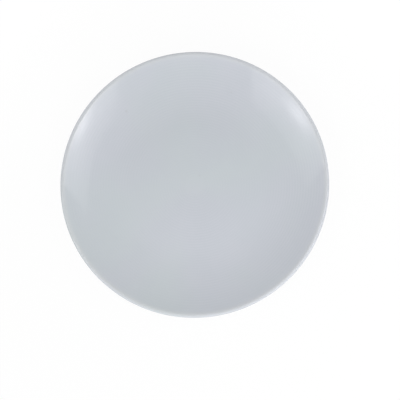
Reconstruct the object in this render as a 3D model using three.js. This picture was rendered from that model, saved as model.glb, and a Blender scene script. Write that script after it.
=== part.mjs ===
// A rimless porcelain plate: the fired body with its foot ring in one piece, and the two coats of glaze
// that the bare standing face of the foot ring keeps apart.
// Millimetres, Z up. The plate's axis is Z and it stands on Z = 0.

import * as THREE from "three";

// Overall sizes, over the glaze
const PLATE_DIAMETER = 270;
const PLATE_HEIGHT = 26;

// Body
const WELL_FLAT_DIAMETER = 132;
const FLOOR_THICKNESS = 5;
const LIP_THICKNESS = 4.2;
const LIP_CROWN_RADIUS = 7;

// Foot ring, measured on the bare body
const FOOT_DIAMETER = 160;
const FOOT_WIDTH = 4.6;
const FOOT_HEIGHT = 4;
const FOOT_EDGE_RADIUS = 1.2;
const FOOT_FILLET_RADIUS = 1.6;

// Glaze, and the strip left bare on each side of the foot ring above its rounded edge
const GLAZE_THICKNESS = 0.25;
const BARE_STRIP = 0.5;

// Facets round the axis and along each curve of the section. The lip is three curves.
const FACETS_ROUND = 64;
const FACETS_WALL = 8;
const FACETS_LIP = 3;
const FACETS_BACK = 6;
const FACETS_FILLET = 3;
const FACETS_EDGE = 2;

// A point of the section: r from the axis, z up, and the unit normal that points out of the clay.
function sectionPoint(r, z, normalR, normalZ) {
  return { r, z, normalR, normalZ };
}

// Points along an arc of the section. side is 1 where the clay is inside the arc's circle and -1 where it
// is outside it. The first point is left out where the curve before it has already given it.
function arc(centre, radius, from, to, facets, side, withFirst = true) {
  const points = [];
  for (let i = withFirst ? 0 : 1; i <= facets; i += 1) {
    const angle = from + ((to - from) * i) / facets;
    const cos = Math.cos(angle);
    const sin = Math.sin(angle);
    points.push(sectionPoint(centre.r + radius * cos, centre.z + radius * sin, side * cos, side * sin));
  }
  return points;
}

// The section of the body, as the three stretches that are glazed below, left bare and glazed above.
// They run from the axis out along the underside, round the foot ring and the lip, and back over the face.
function bodySection() {
  const faceHeight = FOOT_HEIGHT + FLOOR_THICKNESS;
  const flatRadius = WELL_FLAT_DIAMETER / 2;
  const footInner = (FOOT_DIAMETER - FOOT_WIDTH) / 2;
  const footOuter = (FOOT_DIAMETER + FOOT_WIDTH) / 2;
  const edge = Math.min(FOOT_EDGE_RADIUS, 0.4 * FOOT_WIDTH, 0.4 * FOOT_HEIGHT);
  const glazeLine = edge + Math.min(BARE_STRIP, 0.3 * FOOT_HEIGHT);
  const fillet = Math.min(FOOT_FILLET_RADIUS, 0.9 * (FOOT_HEIGHT - glazeLine));

  // The lip is round outside and crowned more gently towards the face. The two curves meet at its top.
  // It touches the overall diameter and height once it is glazed.
  const lipRadius = LIP_THICKNESS / 2;
  const crownRadius = Math.max(LIP_CROWN_RADIUS, lipRadius);
  const lipTop = PLATE_HEIGHT - GLAZE_THICKNESS;
  const lip = { r: PLATE_DIAMETER / 2 - GLAZE_THICKNESS - lipRadius, z: lipTop - lipRadius };
  const crown = { r: lip.r, z: lipTop - crownRadius };

  // The face rises from the flat of the well in one arc, tangent to the flat and to the crown.
  const run = crown.r - flatRadius;
  const rise = crown.z - faceHeight;
  const wallRadius = (run * run + rise * rise - crownRadius * crownRadius) / (2 * (rise + crownRadius));
  const wall = { r: flatRadius, z: faceHeight + wallRadius };
  const lipAngle = Math.atan2(crown.z - wall.z, crown.r - wall.r);

  // The back is one arc, tangent to the lip, that meets the outside of the foot ring at the floor's underside.
  const outR = Math.cos(lipAngle);
  const outZ = Math.sin(lipAngle);
  const toLipR = lip.r - footOuter;
  const toLipZ = lip.z - FOOT_HEIGHT;
  const along = toLipR * outR + toLipZ * outZ;
  const backRadius = (toLipR * toLipR + toLipZ * toLipZ + 2 * lipRadius * along + lipRadius * lipRadius)
    / (2 * (along + lipRadius));
  const back = { r: lip.r - (backRadius - lipRadius) * outR, z: lip.z - (backRadius - lipRadius) * outZ };

  // The outer fillet touches the side of the foot ring and the back.
  const outerFillet = { r: footOuter + fillet, z: 0 };
  outerFillet.z = back.z - Math.sqrt((backRadius + fillet) ** 2 - (outerFillet.r - back.r) ** 2);
  const backAngle = Math.atan2(outerFillet.z - back.z, outerFillet.r - back.r);
  const innerFillet = { r: footInner - fillet, z: FOOT_HEIGHT - fillet };

  const right = Math.PI / 2;
  const below = [
    sectionPoint(0, FOOT_HEIGHT, 0, -1),
    ...arc(innerFillet, fillet, right, 0, FACETS_FILLET, -1),
    sectionPoint(footInner, glazeLine, -1, 0),
  ];
  const bare = [
    ...arc({ r: footInner + edge, z: edge }, edge, 2 * right, 3 * right, FACETS_EDGE, 1),
    ...arc({ r: footOuter - edge, z: edge }, edge, -right, 0, FACETS_EDGE, 1),
  ];
  const above = [
    sectionPoint(footOuter, glazeLine, 1, 0),
    ...arc(outerFillet, fillet, 2 * right, backAngle + 2 * right, FACETS_FILLET, -1),
    ...arc(back, backRadius, backAngle, lipAngle, FACETS_BACK, 1, false),
    ...arc(lip, lipRadius, lipAngle, 0, FACETS_LIP, 1, false),
    ...arc(lip, lipRadius, 0, right, FACETS_LIP, 1, false),
    ...arc(crown, crownRadius, right, lipAngle + 2 * right, FACETS_LIP, 1, false),
    ...arc(wall, wallRadius, lipAngle, -right, FACETS_WALL, -1, false),
    sectionPoint(0, faceHeight, 0, 1),
  ];
  return { below, bare, above };
}

// A stretch of the section moved out of the clay, to the outside of a coat of that thickness.
function outside(stretch, thickness) {
  return stretch.map((p) =>
    sectionPoint(p.r + p.normalR * thickness, p.z + p.normalZ * thickness, p.normalR, p.normalZ));
}

// A named solid turned from a section that starts and ends on the axis.
function turned(name, section, colour, roughness) {
  const points = section.map((p) => new THREE.Vector2(p.r, p.z));
  const geometry = new THREE.LatheGeometry(points, FACETS_ROUND);
  geometry.rotateX(Math.PI / 2);
  const material = new THREE.MeshStandardMaterial({ color: colour, roughness, metalness: 0 });
  const mesh = new THREE.Mesh(geometry, material);
  mesh.name = name;
  return mesh;
}

// A coat over one stretch: out along its outer skin and back along the clay, so that no gap is left under it.
function coat(name, stretch, colour, roughness) {
  const skin = outside(stretch, GLAZE_THICKNESS);
  const section = stretch[0].r === 0 ? [...skin, ...stretch.toReversed()] : [...stretch.toReversed(), ...skin];
  return turned(name, section, colour, roughness);
}

const BARE_PORCELAIN = 0xe2dfd8;
const PALE_GLAZE = 0xc4c9cf;

const { below, bare, above } = bodySection();
const plate = new THREE.Group();
plate.name = "porcelain_plate";
plate.add(turned("porcelain_body", [...below, ...bare, ...above], BARE_PORCELAIN, 0.7));
plate.add(coat("face_glaze", above, PALE_GLAZE, 0.1));
plate.add(coat("underside_glaze", below, PALE_GLAZE, 0.1));

export default plate;
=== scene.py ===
"""The looks of a rimless porcelain plate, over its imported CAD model. Metres, Z up, the axis on Z."""

import math

import bpy
import numpy as np
from mathutils import Matrix, Vector


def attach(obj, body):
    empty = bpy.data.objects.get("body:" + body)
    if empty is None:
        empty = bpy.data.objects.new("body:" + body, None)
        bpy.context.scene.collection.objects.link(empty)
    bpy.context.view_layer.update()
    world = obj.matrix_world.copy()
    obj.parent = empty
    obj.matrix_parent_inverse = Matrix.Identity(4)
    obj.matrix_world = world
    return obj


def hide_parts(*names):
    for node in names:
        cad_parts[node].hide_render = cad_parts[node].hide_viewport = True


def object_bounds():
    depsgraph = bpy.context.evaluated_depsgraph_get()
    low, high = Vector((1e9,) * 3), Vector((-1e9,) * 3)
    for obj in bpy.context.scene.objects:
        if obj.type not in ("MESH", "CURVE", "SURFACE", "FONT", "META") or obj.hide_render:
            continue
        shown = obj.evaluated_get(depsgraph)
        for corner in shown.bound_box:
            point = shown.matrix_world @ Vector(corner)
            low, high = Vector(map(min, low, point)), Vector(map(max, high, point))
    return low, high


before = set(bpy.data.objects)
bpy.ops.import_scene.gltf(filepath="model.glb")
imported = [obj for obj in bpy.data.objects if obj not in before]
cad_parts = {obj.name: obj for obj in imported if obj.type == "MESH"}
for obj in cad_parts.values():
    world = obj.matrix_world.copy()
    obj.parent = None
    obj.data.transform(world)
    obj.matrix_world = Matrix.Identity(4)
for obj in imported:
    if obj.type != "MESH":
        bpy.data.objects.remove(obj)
CAD_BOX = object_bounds()

MM = 0.001

# The section of the plate, drawn as in the solids, with a tighter crown on the lip
PLATE_RADIUS = CAD_BOX[1].x
PLATE_HEIGHT = CAD_BOX[1].z
WELL_FLAT_RADIUS = 66 * MM
FLOOR_THICKNESS = 5 * MM
LIP_RADIUS = 2.1 * MM
LIP_CROWN_RADIUS = 3.4 * MM
FOOT_INNER = 77.7 * MM
FOOT_OUTER = 82.3 * MM
FOOT_RADIUS = (FOOT_INNER + FOOT_OUTER) / 2
FOOT_HEIGHT = 4 * MM
FOOT_EDGE_RADIUS = 1.2 * MM
FOOT_FILLET_RADIUS = 1.6 * MM
GLAZE_THICKNESS = 0.25 * MM
GLAZE_LINE = 1.7 * MM

# Glaze that ran down and pooled beside the foot ring, measured along the section from the glaze line
POOLED_SHARE = 0.5
POOL_AT = 1.6 * MM
POOL_SPREAD = 1.1 * MM

# The rolled end of each coat: how long the roll is, and the share of the thickness at its very end
ROLL_LENGTH = 1.6 * GLAZE_THICKNESS
ROLL_END_SHARE = 0.2

# The fine turned lines on the face
LINE_PITCH = 2.7 * MM
LINE_DEPTH = 0.005 * MM
FIRST_LINE = 10 * MM
LAST_LINE = PLATE_RADIUS - 8 * MM

# The steps of the section's stretches
RECESS_STEPS = 13
FILLET_STEPS = 10
FOOT_EDGE_STEPS = 8
BACK_STEPS = 30
LIP_STEPS = 24
CROWN_STEPS = 12

# The spacing of the points over the well and the wall: on the clay, and on the glaze with its turned lines
CLAY_STEP = 3 * MM
STEPS_PER_LINE = 6
GLAZE_STEP = LINE_PITCH / STEPS_PER_LINE

# Turning the section: steps round the axis, the radius that counts as on it, and the angle of a sharp edge
ROUND_STEPS = 192
ON_AXIS = 1e-6 * MM
SHARP_ANGLE = math.radians(50)

# Marks on the face fade in between these two values of the normal's upward part
FACE_FADE = 0.6
FACE_FULL = 0.8

# The side of an arc that the clay is on
CLAY_INSIDE = 1
CLAY_OUTSIDE = -1


class Stretch:
    """Points of the section, as rows of r, z and the two parts of the normal out of the clay."""

    def __init__(self):
        self.rows = []

    def point(self, r, z, normal_r, normal_z):
        self.rows.append((r, z, normal_r, normal_z))

    def arc(self, centre, radius, start, end, steps, side, first=True):
        """Points along an arc, without its first one where the stretch already ends there."""
        for i in range(0 if first else 1, steps + 1):
            angle = start + (end - start) * i / steps
            c, s = math.cos(angle), math.sin(angle)
            self.point(centre[0] + radius * c, centre[1] + radius * s, side * c, side * s)

    def array(self):
        return np.array(self.rows)


def plate_section(face_step):
    """The clay's section in three: glazed below, bare, and glazed above with that spacing on the face."""
    quarter = math.pi / 2
    half = math.pi
    face_z = FOOT_HEIGHT + FLOOR_THICKNESS
    clay_top = PLATE_HEIGHT - GLAZE_THICKNESS
    lip = (PLATE_RADIUS - GLAZE_THICKNESS - LIP_RADIUS, clay_top - LIP_RADIUS)
    crown = (lip[0], clay_top - LIP_CROWN_RADIUS)

    # The wall's arc is tangent to the flat of the well and to the crown
    run, rise = crown[0] - WELL_FLAT_RADIUS, crown[1] - face_z
    wall_radius = (run**2 + rise**2 - LIP_CROWN_RADIUS**2) / (2 * (rise + LIP_CROWN_RADIUS))
    wall = (WELL_FLAT_RADIUS, face_z + wall_radius)
    lip_angle = math.atan2(crown[1] - wall[1], crown[0] - wall[0])

    # The back's arc is tangent to the lip, and without the fillet it would end at the top of the foot ring
    out = (math.cos(lip_angle), math.sin(lip_angle))
    to_lip = (lip[0] - FOOT_OUTER, lip[1] - FOOT_HEIGHT)
    along = to_lip[0] * out[0] + to_lip[1] * out[1]
    span = to_lip[0] ** 2 + to_lip[1] ** 2 + 2 * LIP_RADIUS * along + LIP_RADIUS**2
    back_radius = span / (2 * (along + LIP_RADIUS))
    back = tuple(lip[i] - (back_radius - LIP_RADIUS) * out[i] for i in range(2))

    # The outer fillet touches the foot ring and the back
    fillet_r = FOOT_OUTER + FOOT_FILLET_RADIUS
    drop = math.sqrt((back_radius + FOOT_FILLET_RADIUS) ** 2 - (fillet_r - back[0]) ** 2)
    outer_fillet = (fillet_r, back[1] - drop)
    back_angle = math.atan2(outer_fillet[1] - back[1], outer_fillet[0] - back[0])

    below = Stretch()
    inner_fillet = (FOOT_INNER - FOOT_FILLET_RADIUS, FOOT_HEIGHT - FOOT_FILLET_RADIUS)
    for i in range(RECESS_STEPS):
        below.point(inner_fillet[0] * i / RECESS_STEPS, FOOT_HEIGHT, 0, -1)
    below.arc(inner_fillet, FOOT_FILLET_RADIUS, quarter, 0, FILLET_STEPS, CLAY_OUTSIDE)
    below.point(FOOT_INNER, GLAZE_LINE, -1, 0)

    bare = Stretch()
    inner_edge = (FOOT_INNER + FOOT_EDGE_RADIUS, FOOT_EDGE_RADIUS)
    bare.arc(inner_edge, FOOT_EDGE_RADIUS, half, half + quarter, FOOT_EDGE_STEPS, CLAY_INSIDE)
    outer_edge = (FOOT_OUTER - FOOT_EDGE_RADIUS, FOOT_EDGE_RADIUS)
    bare.arc(outer_edge, FOOT_EDGE_RADIUS, -quarter, 0, FOOT_EDGE_STEPS, CLAY_INSIDE)

    above = Stretch()
    above.point(FOOT_OUTER, GLAZE_LINE, 1, 0)
    above.arc(outer_fillet, FOOT_FILLET_RADIUS, half, back_angle + half, FILLET_STEPS, CLAY_OUTSIDE)
    above.arc(back, back_radius, back_angle, lip_angle, BACK_STEPS, CLAY_INSIDE, first=False)
    above.arc(lip, LIP_RADIUS, lip_angle, quarter, LIP_STEPS, CLAY_INSIDE, first=False)
    above.arc(crown, LIP_CROWN_RADIUS, quarter, lip_angle + half, CROWN_STEPS, CLAY_INSIDE, first=False)
    wall_steps = round((lip[0] - WELL_FLAT_RADIUS) / face_step)
    above.arc(wall, wall_radius, lip_angle, -quarter, wall_steps, CLAY_OUTSIDE, first=False)
    flat_steps = round(WELL_FLAT_RADIUS / face_step)
    for i in range(1, flat_steps + 1):
        above.point(WELL_FLAT_RADIUS * (1 - i / flat_steps), face_z, 0, 1)
    return below.array(), bare.array(), above.array()


def smooth_step(low, high, value):
    t = np.clip((value - low) / (high - low), 0, 1)
    return t * t * (3 - 2 * t)


def coat_thickness(stretch):
    """The glaze over each point: even, pooled beside the foot ring, and rolled over at its end there."""
    steps = np.hypot(np.diff(stretch[:, 0]), np.diff(stretch[:, 1]))
    from_start = np.concatenate([[0], np.cumsum(steps)])
    starts_on_axis = stretch[0, 0] < ON_AXIS
    from_line = from_start[-1] - from_start if starts_on_axis else from_start
    share = np.clip(from_line / ROLL_LENGTH, 0, 1)
    rolled = np.maximum(np.sqrt(1 - (1 - share) ** 2), ROLL_END_SHARE)
    pooled = 1 + POOLED_SHARE * np.exp(-(((from_line - POOL_AT) / POOL_SPREAD) ** 2))
    return GLAZE_THICKNESS * rolled * pooled


def turned_lines(stretch):
    """The height of the fine turned lines over each point, which is 0 off the face."""
    r, normal_z = stretch[:, 0], stretch[:, 3]
    on_face = (normal_z > FACE_FULL) & (r < LAST_LINE + LINE_PITCH)
    fade = smooth_step(FIRST_LINE - LINE_PITCH, FIRST_LINE + LINE_PITCH, r)
    fade *= 1 - smooth_step(LAST_LINE - LINE_PITCH, LAST_LINE + LINE_PITCH, r)
    wave = (np.cos(2 * math.pi * r / LINE_PITCH) - 1) / 2
    return np.where(on_face, LINE_DEPTH * fade * wave, 0)


def moved_out(stretch, distance):
    return stretch[:, :2] + stretch[:, 2:] * distance[:, None]


def turned_object(name, section, material):
    """A closed smooth solid turned from a section that starts and ends on the axis."""
    angles = 2 * math.pi * np.arange(ROUND_STEPS) / ROUND_STEPS
    cos, sin = np.cos(angles), np.sin(angles)
    verts, rings = [], []
    for r, z in section:
        first = len(verts)
        if r < ON_AXIS:
            verts.append((0, 0, z))
            rings.append([first] * ROUND_STEPS)
        else:
            verts.extend(zip((r * cos).tolist(), (r * sin).tolist(), [z] * ROUND_STEPS))
            rings.append(list(range(first, first + ROUND_STEPS)))
    faces = []
    for low, high in zip(rings[:-1], rings[1:]):
        for step in range(ROUND_STEPS):
            after = (step + 1) % ROUND_STEPS
            corners = (low[step], low[after], high[after], high[step])
            faces.append(tuple(dict.fromkeys(corners)))
    mesh = bpy.data.meshes.new(name)
    mesh.from_pydata(verts, [], faces)
    mesh.validate()
    mesh.shade_smooth()
    mesh.set_sharp_from_angle(angle=SHARP_ANGLE)
    mesh.materials.append(material)
    piece = bpy.data.objects.new(name, mesh)
    bpy.context.collection.objects.link(piece)
    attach(piece, "root")
    return piece


class Nodes:
    """Short ways to add shader nodes to one tree."""

    def __init__(self, tree):
        self.tree = tree
        tree.nodes.clear()

    def add(self, kind, **settings):
        node = self.tree.nodes.new(kind)
        for name, value in settings.items():
            setattr(node, name, value)
        return node

    def link(self, source, target):
        self.tree.links.new(source, target)

    def math(self, operation, *values, clamp=False):
        node = self.add("ShaderNodeMath", operation=operation, use_clamp=clamp)
        for socket, value in zip(node.inputs, values):
            if isinstance(value, (int, float)):
                socket.default_value = value
            else:
                self.link(value, socket)
        return node.outputs[0]

    def times(self, a, b):
        return self.math("MULTIPLY", a, b)

    def minus(self, a, b):
        return self.math("SUBTRACT", a, b)

    def axes(self, vector):
        """The x, y and z of a vector."""
        node = self.add("ShaderNodeSeparateXYZ")
        self.link(vector, node.inputs["Vector"])
        return node.outputs

    def sum_of_squares(self, a, b):
        return self.math("MULTIPLY_ADD", a, a, self.times(b, b))

    def bell(self, square, spread):
        """1 where the square of a distance is 0, falling off smoothly with that spread."""
        return self.math("EXPONENT", self.times(square, -0.5 / spread**2))

    def band(self, value, middle, spread):
        """1 where a value is at the middle, falling off smoothly to both sides."""
        distance = self.minus(value, middle)
        return self.bell(self.times(distance, distance), spread)

    def ramp(self, value, low, high, out_low=0.0, out_high=1.0):
        """A smooth step from one output to the other while the value goes from low to high."""
        node = self.add("ShaderNodeMapRange", interpolation_type="SMOOTHSTEP")
        limits = {"From Min": low, "From Max": high, "To Min": out_low, "To Max": out_high}
        for name, number in limits.items():
            node.inputs[name].default_value = number
        self.link(value, node.inputs["Value"])
        return node.outputs["Result"]

    def noise(self, vector, scale, detail=2.0, roughness=0.5):
        """Noise about 0.5, with that many waves to the metre."""
        node = self.add("ShaderNodeTexNoise")
        node.inputs["Scale"].default_value = scale
        node.inputs["Detail"].default_value = detail
        node.inputs["Roughness"].default_value = roughness
        self.link(vector, node.inputs["Vector"])
        return node.outputs["Fac"]

    def bump(self, height, strength, distance):
        node = self.add("ShaderNodeBump")
        node.inputs["Strength"].default_value = strength
        node.inputs["Distance"].default_value = distance
        self.link(height, node.inputs["Height"])
        return node.outputs["Normal"]

    def mix(self, factor, a, b):
        """From colour a to colour b, each one a tuple or a socket."""
        node = self.add("ShaderNodeMix", data_type="RGBA")
        self.link(factor, node.inputs["Factor"])
        for name, colour in (("A", a), ("B", b)):
            socket = next(s for s in node.inputs if s.name == name and s.type == "RGBA")
            if isinstance(colour, tuple):
                socket.default_value = (*colour, 1)
            else:
                self.link(colour, socket)
        return next(s for s in node.outputs if s.type == "RGBA")


def linear(red, green, blue):
    """A colour given in sRGB steps of 255."""
    values = []
    for step in (red, green, blue):
        c = step / 255
        values.append(c / 12.92 if c <= 0.04045 else ((c + 0.055) / 1.055) ** 2.4)
    return tuple(values)


# Levels of noise that a drift runs between: the close ones give patches with clearer edges
CLOSE_LEVELS = (0.35, 0.65)
WIDE_LEVELS = (0.3, 0.7)

# The glaze's colours
GLAZE_GREEN = linear(195, 202, 206)
GLAZE_VIOLET = linear(198, 201, 209)
# A deeper glaze, also used as the painted shade in the turned lines
GLAZE_DEEP_AND_SHADE = linear(190, 196, 203)
GLAZE_POOLED = linear(174, 184, 194)
# A lighter glaze for the lip: partly thin glaze, partly painted light
GLAZE_THIN_AND_LIT = linear(205, 208, 210)
SPECK = linear(150, 146, 140)

# Slow drifts: of the glaze's tint, of its depth, and of the least and most painted shade in the turned
# lines
TINT_SCALE = 9
DEPTH_SCALE = 22
DEPTH_SHARE = 0.3
LINE_SHADE_SCALE = 14
LINE_SHADE_SHARES = (0.22, 0.55)

# The colour of pooled glaze: its spread to both sides of the foot ring, and the heights it fades in between
POOL_TINT_SPREAD = 2.4 * MM
POOL_TINT_TOP = FOOT_HEIGHT + 2.5 * MM
POOL_TINT_FULL = FOOT_HEIGHT + 0.5 * MM
POOL_TINT_SHARE = 0.8

# Thin, lighter glaze on the lip, with painted light on it as well: where it begins, is thinnest and ends,
# and how much of it is left at the end
THIN_AND_LIT_FROM = PLATE_RADIUS - 6.5 * MM
THIN_AND_LIT_FULL = PLATE_RADIUS - 3.5 * MM
THIN_AND_LIT_UNTIL = PLATE_RADIUS - 2.2 * MM
THIN_AND_LIT_END = PLATE_RADIUS - 0.4 * MM
THIN_AND_LIT_SHARE = 0.5
THIN_AND_LIT_LEFT_AT_END = 0.35

# Faint specks from the kiln on the face: x, y, spread, and how much of the speck's colour shows
KILN_SPECKS = (
    (-69.9 * MM, 75.9 * MM, 0.8 * MM, 0.17),
    (37.6 * MM, 94.8 * MM, 0.7 * MM, 0.1),
    (4.6 * MM, 9.9 * MM, 0.7 * MM, 0.1),
)

# The gloss of the glaze, and the faint waves in it
GLAZE_IOR = 1.58
GLAZE_ROUGHNESS = (0.045, 0.075)
GLOSS_SCALE = 60
WAVE_SCALE = 160
WAVE_STRENGTH = 0.05
WAVE_HEIGHT = 0.02 * MM


def glaze_colour(nodes, where, normal_z):
    """Drifts in tint and depth, painted shade in the turned lines, deeper at the foot, and a lip lighter
    from thin glaze and painted light.
    """
    x, y, z = nodes.axes(where)
    radius = nodes.math("SQRT", nodes.sum_of_squares(x, y))
    on_face = nodes.ramp(normal_z, FACE_FADE, FACE_FULL)

    tint = nodes.ramp(nodes.noise(where, TINT_SCALE), *CLOSE_LEVELS)
    colour = nodes.mix(tint, GLAZE_GREEN, GLAZE_VIOLET)
    depth = nodes.noise(where, DEPTH_SCALE, detail=3, roughness=0.55)
    colour = nodes.mix(nodes.ramp(depth, *WIDE_LEVELS, 0, DEPTH_SHARE), colour, GLAZE_DEEP_AND_SHADE)

    # Painted shade: the glaze is darker in the troughs of the fine turned lines, standing in for their
    # shading
    wave = nodes.math("COSINE", nodes.times(radius, 2 * math.pi / LINE_PITCH))
    line_shade = nodes.times(nodes.math("MULTIPLY_ADD", wave, -0.5, 0.5), on_face)
    line_shade = nodes.times(line_shade, nodes.ramp(radius, FIRST_LINE - LINE_PITCH, FIRST_LINE + LINE_PITCH))
    line_shade = nodes.times(line_shade, nodes.ramp(radius, LAST_LINE + LINE_PITCH, LAST_LINE - LINE_PITCH))
    line_shade = nodes.times(line_shade, nodes.ramp(nodes.noise(where, LINE_SHADE_SCALE), *WIDE_LEVELS, *LINE_SHADE_SHARES))
    colour = nodes.mix(line_shade, colour, GLAZE_DEEP_AND_SHADE)

    pool = nodes.band(radius, FOOT_RADIUS, POOL_TINT_SPREAD)
    pool = nodes.times(pool, nodes.ramp(z, POOL_TINT_TOP, POOL_TINT_FULL, 0, POOL_TINT_SHARE))
    colour = nodes.mix(pool, colour, GLAZE_POOLED)

    # A lighter band on the lip: partly thin glaze, partly painted light on the lip
    thin_and_lit = nodes.ramp(radius, THIN_AND_LIT_FROM, THIN_AND_LIT_FULL, 0, THIN_AND_LIT_SHARE)
    thin_and_lit = nodes.times(thin_and_lit, nodes.ramp(radius, THIN_AND_LIT_UNTIL, THIN_AND_LIT_END, 1, THIN_AND_LIT_LEFT_AT_END))
    colour = nodes.mix(thin_and_lit, colour, GLAZE_THIN_AND_LIT)

    for speck_x, speck_y, spread, share in KILN_SPECKS:
        square = nodes.sum_of_squares(nodes.minus(x, speck_x), nodes.minus(y, speck_y))
        spot = nodes.times(nodes.times(nodes.bell(square, spread), share), on_face)
        colour = nodes.mix(spot, colour, SPECK)
    return colour


def shaded_material(name):
    """A new material with one principled shader: the material, its nodes and the shader."""
    material = bpy.data.materials.new(name)
    material.use_nodes = True
    nodes = Nodes(material.node_tree)
    shader = nodes.add("ShaderNodeBsdfPrincipled")
    output = nodes.add("ShaderNodeOutputMaterial")
    nodes.link(shader.outputs["BSDF"], output.inputs["Surface"])
    return material, nodes, shader


def glaze_material():
    material, nodes, shader = shaded_material("pale_glaze")
    place = nodes.add("ShaderNodeTexCoord")
    where = place.outputs["Object"]
    normal_z = nodes.axes(place.outputs["Normal"])[2]
    nodes.link(glaze_colour(nodes, where, normal_z), shader.inputs["Base Color"])
    roughness = nodes.ramp(nodes.noise(where, GLOSS_SCALE), *CLOSE_LEVELS, *GLAZE_ROUGHNESS)
    nodes.link(roughness, shader.inputs["Roughness"])
    shader.inputs["IOR"].default_value = GLAZE_IOR
    waves = nodes.bump(nodes.noise(where, WAVE_SCALE), WAVE_STRENGTH, WAVE_HEIGHT)
    nodes.link(waves, shader.inputs["Normal"])
    return material


# The bare clay's colours
CLAY = linear(229, 226, 219)
CLAY_SHADE = linear(215, 211, 203)
CLAY_TOASTED = linear(216, 202, 184)
CLAY_SCUFFED = linear(172, 168, 161)

# The clay's mottling, and the toasted line along the glaze
MOTTLE_SCALE = 90
TOAST_SPREAD = 0.3 * MM
TOAST_SHARE = 0.45

# Scuffs where the plate stands: their spread across the foot ring, and the heights they fade in between
SCUFF_SCALE = 140
SCUFF_LEVELS = (0.45, 0.7)
SCUFF_SHARES = (0.05, 0.6)
SCUFF_SPREAD = 0.9 * MM
SCUFF_TOP = 0.3 * MM
SCUFF_FULL = 0.05 * MM

# The clay's dull surface and its grain
CLAY_ROUGHNESS = (0.62, 0.8)
DULL_SCALE = 900
GRAIN_SCALE = 2500
GRAIN_STRENGTH = 0.4
GRAIN_HEIGHT = 0.03 * MM


def clay_colour(nodes, where):
    """Bare porcelain, a little toasted along the glaze and scuffed grey where it stands."""
    x, y, z = nodes.axes(where)
    mottle = nodes.noise(where, MOTTLE_SCALE, detail=4, roughness=0.6)
    colour = nodes.mix(nodes.ramp(mottle, *WIDE_LEVELS), CLAY, CLAY_SHADE)

    toasted = nodes.times(nodes.band(z, GLAZE_LINE, TOAST_SPREAD), TOAST_SHARE)
    colour = nodes.mix(toasted, colour, CLAY_TOASTED)

    radius = nodes.math("SQRT", nodes.sum_of_squares(x, y))
    scuffs = nodes.band(radius, FOOT_RADIUS, SCUFF_SPREAD)
    patches = nodes.noise(where, SCUFF_SCALE, detail=4, roughness=0.65)
    scuffs = nodes.times(scuffs, nodes.ramp(patches, *SCUFF_LEVELS, *SCUFF_SHARES))
    scuffs = nodes.times(scuffs, nodes.ramp(z, SCUFF_TOP, SCUFF_FULL))
    return nodes.mix(scuffs, colour, CLAY_SCUFFED)


def bare_material():
    material, nodes, shader = shaded_material("bare_porcelain")
    where = nodes.add("ShaderNodeTexCoord").outputs["Object"]
    nodes.link(clay_colour(nodes, where), shader.inputs["Base Color"])
    roughness = nodes.ramp(nodes.noise(where, DULL_SCALE), *WIDE_LEVELS, *CLAY_ROUGHNESS)
    nodes.link(roughness, shader.inputs["Roughness"])
    grain = nodes.noise(where, GRAIN_SCALE, detail=3, roughness=0.6)
    nodes.link(nodes.bump(grain, GRAIN_STRENGTH, GRAIN_HEIGHT), shader.inputs["Normal"])
    return material


def build_plate():
    below, bare, above = plate_section(CLAY_STEP)
    fine = plate_section(GLAZE_STEP)[2]
    glaze, clay = glaze_material(), bare_material()

    body = turned_object("porcelain_body_fine", np.vstack([below, bare, above])[:, :2], clay)
    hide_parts("porcelain_body")

    skin = moved_out(fine, coat_thickness(fine) + turned_lines(fine))
    face = turned_object("face_glaze_fine", np.vstack([above[::-1, :2], skin]), glaze)
    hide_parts("face_glaze")

    skin = moved_out(below, coat_thickness(below))
    underside = turned_object("underside_glaze_fine", np.vstack([skin, below[::-1, :2]]), glaze)
    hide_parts("underside_glaze")


WHITE = (1, 1, 1, 1)

# The floor: its size, how far it lies under the plate, and how much of it is seen as background
FLOOR_SIZE = 12
FLOOR_DROP = 0.05 * MM
FLOOR_COLOUR = (0.9, 0.9, 0.9, 1)
FLOOR_BACKGROUND = 0.95

# The light that comes from all round
AMBIENT = 0.474


def background_factor(nodes):
    """1 for what the camera, gloss and glass see, and 0 for the light that falls on things."""
    path = nodes.add("ShaderNodeLightPath")
    seen = nodes.math("ADD", path.outputs["Is Camera Ray"], path.outputs["Is Glossy Ray"], clamp=True)
    return nodes.math("ADD", seen, path.outputs["Is Transmission Ray"], clamp=True)


def build_floor():
    bpy.ops.mesh.primitive_plane_add(size=FLOOR_SIZE, location=(0, 0, -FLOOR_DROP))
    floor = bpy.context.object
    floor.name = "floor"
    material = bpy.data.materials.new("floor_white")
    material.use_nodes = True
    nodes = Nodes(material.node_tree)
    matte = nodes.add("ShaderNodeBsdfDiffuse")
    matte.inputs["Color"].default_value = FLOOR_COLOUR
    glow = nodes.add("ShaderNodeEmission")
    shown = nodes.add("ShaderNodeMixShader")
    nodes.link(nodes.times(background_factor(nodes), FLOOR_BACKGROUND), shown.inputs["Fac"])
    nodes.link(matte.outputs["BSDF"], shown.inputs[1])
    nodes.link(glow.outputs["Emission"], shown.inputs[2])
    output = nodes.add("ShaderNodeOutputMaterial")
    nodes.link(shown.outputs["Shader"], output.inputs["Surface"])
    floor.data.materials.append(material)


def build_world():
    world = bpy.data.worlds.new("studio")
    bpy.context.scene.world = world
    world.use_nodes = True
    nodes = Nodes(world.node_tree)
    light = nodes.add("ShaderNodeBackground")
    light.inputs["Strength"].default_value = AMBIENT
    light.inputs["Color"].default_value = WHITE
    white = nodes.add("ShaderNodeBackground")
    white.inputs["Color"].default_value = WHITE
    shown = nodes.add("ShaderNodeMixShader")
    nodes.link(background_factor(nodes), shown.inputs["Fac"])
    nodes.link(light.outputs["Background"], shown.inputs[1])
    nodes.link(white.outputs["Background"], shown.inputs[2])
    output = nodes.add("ShaderNodeOutputWorld")
    nodes.link(shown.outputs["Shader"], output.inputs["Surface"])


def placed(centre, wide, tall, back):
    """The matrix of a thing at that centre, with its own x, y and z along those three directions."""
    return Matrix.Translation(centre) @ Matrix((wide, tall, back)).transposed().to_4x4()


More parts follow.
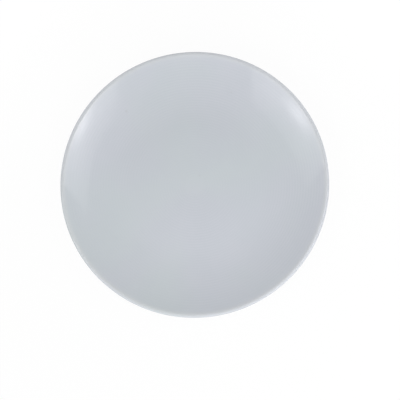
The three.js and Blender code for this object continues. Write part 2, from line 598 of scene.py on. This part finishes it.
def lamp_shape(data, width, height, even, glows, glow_at):
    """A lamp's radiance: even all over, with round glows, each of a radiance and a spread, at one point."""
    data.use_nodes = True
    nodes = Nodes(data.node_tree)
    u, v, _ = nodes.axes(nodes.add("ShaderNodeNewGeometry").outputs["Parametric"])
    across = nodes.math("MULTIPLY_ADD", u, width, -width / 2 - glow_at[0])
    along = nodes.math("MULTIPLY_ADD", v, height, -height / 2 - glow_at[1])
    square = nodes.sum_of_squares(across, along)
    strength = even
    for radiance, spread in glows:
        strength = nodes.math("MULTIPLY_ADD", nodes.bell(square, spread), radiance, strength)
    emission = nodes.add("ShaderNodeEmission")
    nodes.link(strength, emission.inputs["Strength"])
    output = nodes.add("ShaderNodeOutputLight")
    nodes.link(emission.outputs["Emission"], output.inputs["Surface"])


def soft_lamp(name, centre, wide_axis, tall_axis, width, height, even, glows=(), glow_at=(0.0, 0.0)):
    """A flat lamp that shines away from where its two axes' cross product points. Radiance 1 is white."""
    wide = Vector(wide_axis).normalized()
    back = wide.cross(Vector(tall_axis)).normalized()
    tall = back.cross(wide)
    data = bpy.data.lights.new(name, "AREA")
    data.shape = "RECTANGLE"
    data.size = width
    data.size_y = height
    data.energy = math.pi * width * height
    if glows:
        lamp_shape(data, width, height, even, glows, glow_at)
    else:
        data.energy *= even
    lamp = bpy.data.objects.new(name, data)
    lamp.matrix_world = placed(Vector(centre), wide, tall, back)
    bpy.context.collection.objects.link(lamp)
    return lamp


def fill_panel(name, azimuth, elevation, distance, width, height, radiance):
    """A panel that faces and lights the plate's middle, but isn't seen in the gloss. Angles in degrees."""
    turn, lift = math.radians(azimuth), math.radians(elevation)
    out = Vector((math.cos(lift) * math.cos(turn), math.cos(lift) * math.sin(turn), math.sin(lift)))
    wide = Vector((0, 0, 1)).cross(out)
    panel = soft_lamp(name, out * distance, wide, out.cross(wide), width, height, radiance)
    panel.visible_glossy = False


# Fill panels: name, azimuth, elevation, distance, width, height and radiance
FILL_PANELS = (
    ("fill_front_left", 240, 45, 1.2, 0.8, 0.6, 1.95),
    ("fill_front", 282, 25, 1.2, 0.8, 0.6, 2.45),
    ("fill_near", 330, 26, 0.42, 0.3, 0.15, 1.95),
    ("fill_back_right", 45, 10, 0.34, 0.3, 0.05, 3.9),
    ("fill_back_left", 135, 10, 0.34, 0.3, 0.05, 2.8),
)


def build_lamps():
    """Two softboxes that show as the highlights beside the lip, and panels that fill in the shade."""
    soft_lamp(
        "softbox_left",
        centre=(-0.540, -0.114, 0.856),
        wide_axis=(0.647, -0.698, 0.307),
        tall_axis=(-0.042, 0.369, 0.928),
        width=0.624,
        height=0.826,
        even=0.395,
        glows=((0.93, 0.216), (2.6, 0.064)),
        glow_at=(0.001, -0.145),
    )
    soft_lamp(
        "softbox_right",
        centre=(0.479, -0.097, 0.888),
        wide_axis=(0.161, 0.889, -0.429),
        tall_axis=(0.033, 0.430, 0.902),
        width=0.668,
        height=0.812,
        even=0.455,
        glows=((1.09, 0.229), (2.85, 0.064)),
        glow_at=(0.042, -0.178),
    )
    for panel in FILL_PANELS:
        fill_panel(*panel)


# The photograph's view: where the camera stands from the point it aims at, and how wide it sees there
CAMERA_DISTANCE = 1.3
CAMERA_ELEVATION = math.radians(81.5)
CAMERA_TURN = math.radians(17)
VIEW_WIDTH = 0.4004
AIM = (0.0058, -0.0173, PLATE_HEIGHT - LIP_RADIUS)
SENSOR_WIDTH_MM = 36


def build_camera():
    """A camera with the frame's Y upright in its picture."""
    across = Vector((math.sin(CAMERA_TURN), -math.cos(CAMERA_TURN), 0))
    away = across * math.cos(CAMERA_ELEVATION) + Vector((0, 0, math.sin(CAMERA_ELEVATION)))
    side = Vector((0, 1, 0)).cross(away).normalized()
    top = away.cross(side)
    data = bpy.data.cameras.new("camera")
    data.sensor_width = SENSOR_WIDTH_MM
    data.lens = SENSOR_WIDTH_MM * CAMERA_DISTANCE / VIEW_WIDTH
    camera = bpy.data.objects.new("camera", data)
    camera.matrix_world = placed(Vector(AIM) + away * CAMERA_DISTANCE, side, top, away)
    bpy.context.collection.objects.link(camera)
    bpy.context.scene.camera = camera


build_camera()
build_plate()
build_floor()
build_world()
build_lamps()
bpy.context.scene.view_settings.view_transform = "Standard"
